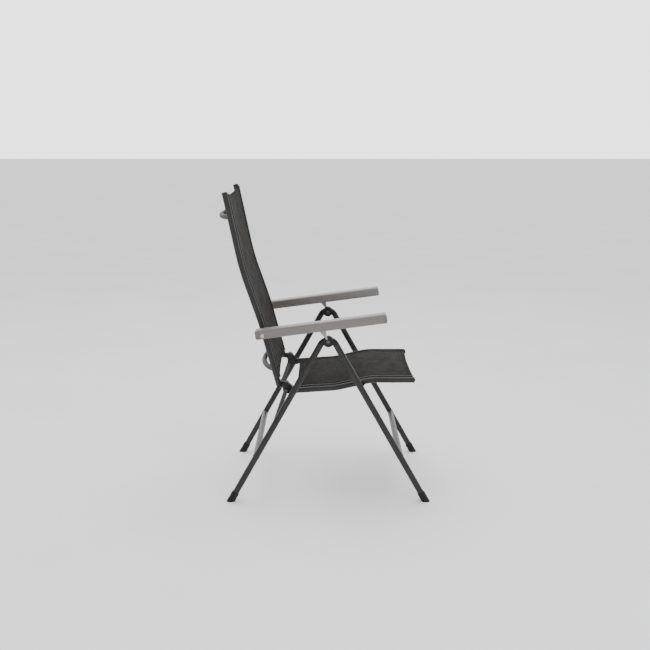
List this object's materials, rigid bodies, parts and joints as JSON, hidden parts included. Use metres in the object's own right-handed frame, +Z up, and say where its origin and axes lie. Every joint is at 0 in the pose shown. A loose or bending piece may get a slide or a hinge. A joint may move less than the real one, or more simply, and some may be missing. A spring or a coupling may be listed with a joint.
{
  "type": "folding camp chair",
  "caption": "Folding high-back garden armchair with dark tubular frame, black mesh sling seat and reclining back, and grey armrests.",
  "frame": {"origin": "middle of the ground rectangle that the opened, upright chair fills, on the ground", "axes": "+Z is up, -Y is the way the chair faces, +X is to the sitter's left"},
  "size_m": [0.5846, 0.7518, 1.0868],
  "materials": {
    "frame_tube": "anthracite textured powder coat, satin",
    "frame_plastic": "matt moulded nylon",
    "black_plastic": "matt moulded plastic",
    "strut_metal": "light grey paint",
    "steel_pin": "zinc plated",
    "dark_steel": "grey painted steel",
    "black_steel": "black painted steel bolt with a domed cover",
    "bead_rail": "dark powder coat",
    "sling": "woven coated mesh, matt",
    "armrest": "satin anodised",
    "arm_cap": "matt moulded plastic"
  },
  "bodies": {
    "rear_frame": {"rear_leg_left": "frame_tube", "rear_leg_right": "frame_tube", "rear_crossbar": "frame_tube", "rear_hinge_left": "frame_plastic", "rear_hinge_right": "frame_plastic", "rear_foot_left": "black_plastic", "rear_foot_right": "black_plastic", "latch_strut_left": "strut_metal", "latch_strut_right": "strut_metal", "latch_pins": "steel_pin", "apex_pins": "dark_steel", "link_bosses": "dark_steel"},
    "front_frame": {"front_leg_left": "frame_tube", "front_leg_right": "frame_tube", "front_crossbar": "frame_tube", "front_hinge_left": "frame_plastic", "front_hinge_right": "frame_plastic", "front_foot_left": "black_plastic", "front_foot_right": "black_plastic", "seat_studs": "dark_steel"},
    "seat": {"seat_rail_left": "frame_tube", "seat_rail_right": "frame_tube", "seat_front_bar": "frame_tube", "seat_rear_bar": "frame_tube", "seat_front_brackets": "frame_plastic", "seat_end_fitting_left": "black_plastic", "seat_end_fitting_right": "black_plastic", "seat_front_caps": "black_plastic", "seat_bead_rail_left": "bead_rail", "seat_bead_rail_right": "bead_rail", "seat_bead_rods": "black_plastic", "seat_sling": "sling", "link_pins": "dark_steel"},
    "left_link": {"link_left": "dark_steel"},
    "right_link": {"link_right": "dark_steel"},
    "back_hub": {"back_knob_left": "black_steel", "back_knob_right": "black_steel"},
    "back": {"back_rail_left": "frame_tube", "back_rail_right": "frame_tube", "back_upper_bar": "frame_tube", "back_lower_bar": "frame_tube", "back_end_fitting_left": "black_plastic", "back_end_fitting_right": "black_plastic", "back_top_caps": "black_plastic", "back_bead_rail_left": "bead_rail", "back_bead_rail_right": "bead_rail", "back_bead_rods": "black_plastic", "back_sling": "sling"},
    "left_arm_bolt": {"arm_bolt_left": "steel_pin"},
    "right_arm_bolt": {"arm_bolt_right": "steel_pin"},
    "left_arm": {"armrest_left": "armrest", "arm_front_cap_left": "arm_cap", "arm_rear_cap_left": "arm_cap", "notch_rack_left": "black_plastic"},
    "right_arm": {"armrest_right": "armrest", "arm_front_cap_right": "arm_cap", "arm_rear_cap_right": "arm_cap", "notch_rack_right": "black_plastic"}
  },
  "joints": [
    {"name": "fold", "type": "hinge", "parent": "rear_frame", "child": "front_frame", "pos_m": [0, -0.01439, 0.581], "axis": [1, 0, 0], "range_deg": [0, 55]},
    {"name": "seat_fold", "type": "hinge", "parent": "front_frame", "child": "seat", "pos_m": [0, -0.12939, 0.412], "axis": [-1, 0, 0], "range_deg": [0, 86.2]},
    {"name": "link_fold_left", "type": "hinge", "parent": "seat", "child": "left_link", "pos_m": [0.228, 0.13461, 0.394], "axis": [-1, 0, 0], "range_deg": [0, 102.6]},
    {"name": "link_fold_right", "type": "hinge", "parent": "seat", "child": "right_link", "pos_m": [-0.228, 0.13461, 0.394], "axis": [-1, 0, 0], "range_deg": [0, 102.6]},
    {"name": "back_fold", "type": "hinge", "parent": "seat", "child": "back_hub", "pos_m": [0, 0.13461, 0.415], "axis": [1, 0, 0], "range_deg": [0, 77.2]},
    {"name": "recline", "type": "hinge", "parent": "back_hub", "child": "back", "pos_m": [0, 0.13461, 0.415], "axis": [-1, 0, 0], "range_deg": [0, 30.6]},
    {"name": "arm_fold_left", "type": "hinge", "parent": "back", "child": "left_arm_bolt", "pos_m": [0.2675, 0.21101, 0.605], "axis": [-1, 0, 0], "range_deg": [0, 100]},
    {"name": "arm_recline_left", "type": "hinge", "parent": "left_arm_bolt", "child": "left_arm", "pos_m": [0.2675, 0.21101, 0.605], "axis": [1, 0, 0], "range_deg": [0, 20.03]},
    {"name": "arm_fold_right", "type": "hinge", "parent": "back", "child": "right_arm_bolt", "pos_m": [-0.2675, 0.21101, 0.605], "axis": [-1, 0, 0], "range_deg": [0, 100]},
    {"name": "arm_recline_right", "type": "hinge", "parent": "right_arm_bolt", "child": "right_arm", "pos_m": [-0.2675, 0.21101, 0.605], "axis": [1, 0, 0], "range_deg": [0, 20.03]}
  ],
  "couplings": [
    {"joint": "seat_fold", "follows": "fold", "ratio": 1.5674},
    {"joint": "link_fold_left", "follows": "fold", "ratio": 1.8655},
    {"joint": "link_fold_right", "follows": "fold", "ratio": 1.8655},
    {"joint": "back_fold", "follows": "fold", "ratio": 1.4037},
    {"joint": "arm_fold_left", "follows": "fold", "ratio": 1.8182},
    {"joint": "arm_recline_left", "follows": "recline", "ratio": 0.65451},
    {"joint": "arm_fold_right", "follows": "fold", "ratio": 1.8182},
    {"joint": "arm_recline_right", "follows": "recline", "ratio": 0.65451}
  ]
}
